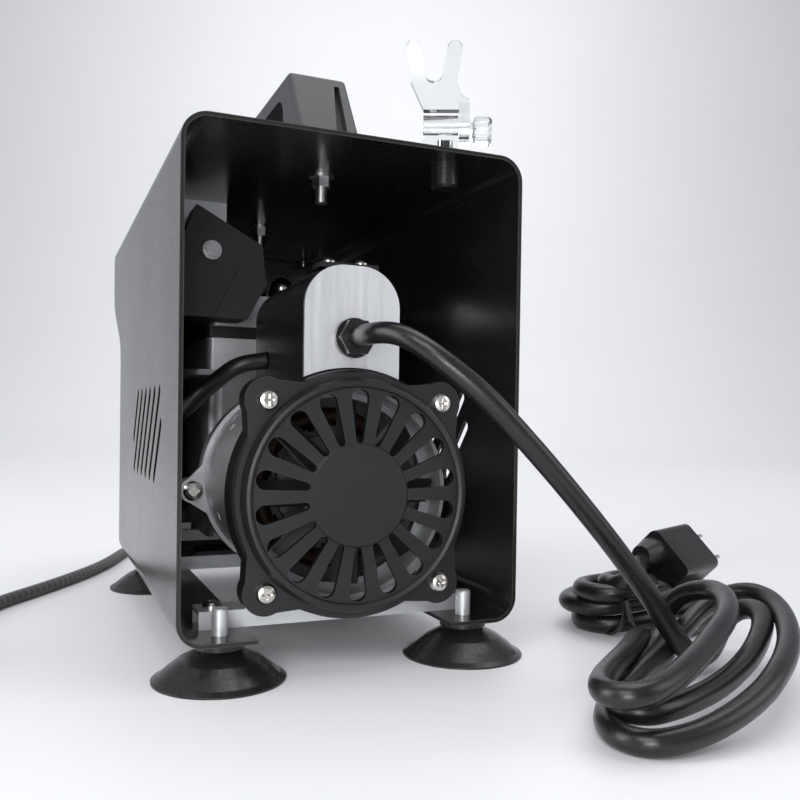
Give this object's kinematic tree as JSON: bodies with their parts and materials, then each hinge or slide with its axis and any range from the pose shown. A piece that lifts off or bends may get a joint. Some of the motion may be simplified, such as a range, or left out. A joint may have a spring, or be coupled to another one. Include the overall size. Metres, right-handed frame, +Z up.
{
  "type": "airbrush compressor",
  "caption": "Small piston compressor for an airbrush in a bent sheet-metal shell with a carrying handle, suction feet, regulator, airbrush holder, hose and cord.",
  "frame": {"origin": "under the middle of the object, on the surface that the suction feet stand on", "axes": "+Z up, +Y from the open back towards the regulator side, +X to the right as seen from the back"},
  "size_m": [0.4216, 0.4256, 0.24],
  "materials": {
    "shell_coat": "satin black powder coat, fine orange peel, bare steel at the cut edges",
    "panel_coat": "satin black powder coat",
    "handle_plastic": "dark grey moulded plastic, fine texture",
    "cup_rubber": "glossy black rubber",
    "bright_zinc": "bright zinc plate",
    "nickel_screws": "nickel plate, slight wear in the drives",
    "steel_bolts": "zinc plated",
    "isolator_rubber": "matte black rubber",
    "can_steel": "rolled bright steel",
    "cover_plastic": "charcoal moulded plastic, fine texture",
    "lamination_steel": "stacked laminations",
    "winding_enamel": "enamelled copper wire, laced",
    "bell_aluminium": "cast",
    "bearing_steel": "ground and polished",
    "rotor_steel": "ground shaft, laminated core",
    "fan_plastic": "moulded",
    "face_aluminium": "bright satin, brushed",
    "box_coat": "semi-gloss black",
    "capacitor_case": "moulded",
    "gland_nylon": "black nylon",
    "cast_case": "die cast, fine grain",
    "crank_iron": "turned and phosphated",
    "rod_aluminium": "die cast",
    "piston_aluminium": "machined, with a dark seal ring",
    "cylinder_aluminium": "anodised bore",
    "valve_black": "black oxide",
    "head_aluminium": "bright die cast",
    "filter_plastic": "black moulded cap",
    "fitting_nickel": "nickel plated brass",
    "inner_tube_poly": "black polyurethane tube",
    "switch_plastic": "black moulded",
    "hanger_zinc": "zinc plated strap",
    "sleeve_vinyl": "black vinyl sleeve",
    "regulator_zinc": "black painted zinc casting",
    "knob_plastic": "black, fluted",
    "bowl_clear": "clear polycarbonate",
    "button_brass": "turned",
    "gauge_black": "black case round a pale dial",
    "needle_black": "matte black",
    "lens_clear": "clear",
    "hose_nut_nickel": "nickel plated brass",
    "rocker_housing": "black nylon",
    "rocker_red": "red translucent cap",
    "bush_plastic": "black nylon",
    "holder_clear": "clear acrylic, slightly rounded edges",
    "fork_clear": "clear acrylic, slightly rounded edges",
    "holder_knob_clear": "clear knob on a steel screw",
    "cord_pvc": "satin black PVC",
    "plug_pvc": "satin black PVC",
    "blade_nickel": "nickel plated brass",
    "tie_black": "coated wire",
    "hose_braid": "black braid over a rubber tube"
  },
  "bodies": {
    "unit": {"shell": "shell_coat", "front_panel": "panel_coat", "handle": "handle_plastic", "suction_feet": "cup_rubber", "foot_studs": "bright_zinc", "cross_bars": "bright_zinc", "isolators": "isolator_rubber", "motor_can": "can_steel", "fan_cover": "cover_plastic", "stator_core": "lamination_steel", "stator_windings": "winding_enamel", "rear_bell": "bell_aluminium", "shaft_bearings": "bearing_steel", "terminal_face": "face_aluminium", "terminal_cover": "box_coat", "capacitor": "capacitor_case", "cord_gland": "gland_nylon", "crankcase": "cast_case", "case_cover": "cast_case", "cylinder": "cylinder_aluminium", "valve_plate": "valve_black", "cylinder_head": "head_aluminium", "pan_screws": "nickel_screws", "hex_bolts": "steel_bolts", "intake_filter": "filter_plastic", "air_fittings": "fitting_nickel", "inner_air_tube": "inner_tube_poly", "switch_box": "switch_plastic", "switch_hanger": "hanger_zinc", "wire_sleeve": "sleeve_vinyl", "regulator_body": "regulator_zinc", "moisture_bowl": "bowl_clear", "gauge_case": "gauge_black", "gauge_lens": "lens_clear", "outlet_fitting": "fitting_nickel", "air_hose": "hose_braid", "hose_coil": "hose_braid", "hose_end": "fitting_nickel", "rocker_frame": "rocker_housing", "holder_bush": "bush_plastic", "power_cord": "cord_pvc", "cord_loops": "cord_pvc", "cord_hank": "cord_pvc", "plug_body": "plug_pvc", "plug_blades": "blade_nickel", "twist_tie": "tie_black"},
    "motor_rotor": {"rotor": "rotor_steel", "cooling_fan": "fan_plastic", "crank": "crank_iron"},
    "pump_rod": {"connecting_rod": "rod_aluminium", "rod_bearings": "bearing_steel"},
    "pump_piston": {"piston": "piston_aluminium"},
    "pressure_knob": {"regulator_knob": "knob_plastic"},
    "drain_valve": {"drain_button": "button_brass"},
    "needle": {"gauge_needle": "needle_black"},
    "rocker": {"power_rocker": "rocker_red"},
    "holder_base": {"holder_block": "holder_clear"},
    "fork": {"holder_fork": "fork_clear"},
    "clamp_knob": {"holder_knob": "holder_knob_clear"},
    "swivel_nut": {"hose_nut": "hose_nut_nickel"}
  },
  "joints": [
    {"name": "motor_spin", "type": "hinge", "parent": "unit", "child": "motor_rotor", "pos_m": [0, -0.04175, 0.0644], "axis": [0, 1, 0], "continuous": true},
    {"name": "rod_swing", "type": "hinge", "parent": "motor_rotor", "child": "pump_rod", "pos_m": [0, 0.02825, 0.0694], "axis": [0, 1, 0], "continuous": true},
    {"name": "piston_stroke", "type": "slide", "parent": "unit", "child": "pump_piston", "axis": [0, 0, 1], "range_m": [-0.01, 0]},
    {"name": "pressure_turn", "type": "hinge", "parent": "unit", "child": "pressure_knob", "pos_m": [-0.018, 0.11125, 0.119], "axis": [0, 0, 1], "range_deg": [-720, 0]},
    {"name": "drain_press", "type": "slide", "parent": "unit", "child": "drain_valve", "axis": [0, 0, 1], "range_m": [0, 0.0025], "stiffness_N_per_m": 600, "springref_m": -0.0005},
    {"name": "needle_turn", "type": "hinge", "parent": "unit", "child": "needle", "pos_m": [-0.018, 0.12825, 0.1], "axis": [0, -1, 0], "range_deg": [0, 270], "stiffness_Nm_per_rad": 0.0004},
    {"name": "rocker_tilt", "type": "hinge", "parent": "unit", "child": "rocker", "pos_m": [-0.036, 0.12945, 0.174], "axis": [0, 0, 1], "range_deg": [-8, 8]},
    {"name": "holder_swivel", "type": "hinge", "parent": "unit", "child": "holder_base", "pos_m": [0.0386, -0.10675, 0.199], "axis": [0, 0, 1], "range_deg": [-60, 60]},
    {"name": "fork_tilt", "type": "hinge", "parent": "holder_base", "child": "fork", "pos_m": [0.0386, -0.10675, 0.205], "axis": [0.9063, -0.4226, 0], "range_deg": [-60, 60]},
    {"name": "clamp_turn", "type": "hinge", "parent": "holder_base", "child": "clamp_knob", "pos_m": [0.0386, -0.10675, 0.205], "axis": [0.9063, -0.4226, 0], "range_deg": [-180, 180]},
    {"name": "hose_nut_turn", "type": "hinge", "parent": "unit", "child": "swivel_nut", "pos_m": [0.017, 0.11125, 0.09], "axis": [0, 0, 1], "continuous": true}
  ],
  "couplings": [
    {"joint": "rod_swing", "follows": "motor_spin", "ratio": -1}
  ]
}
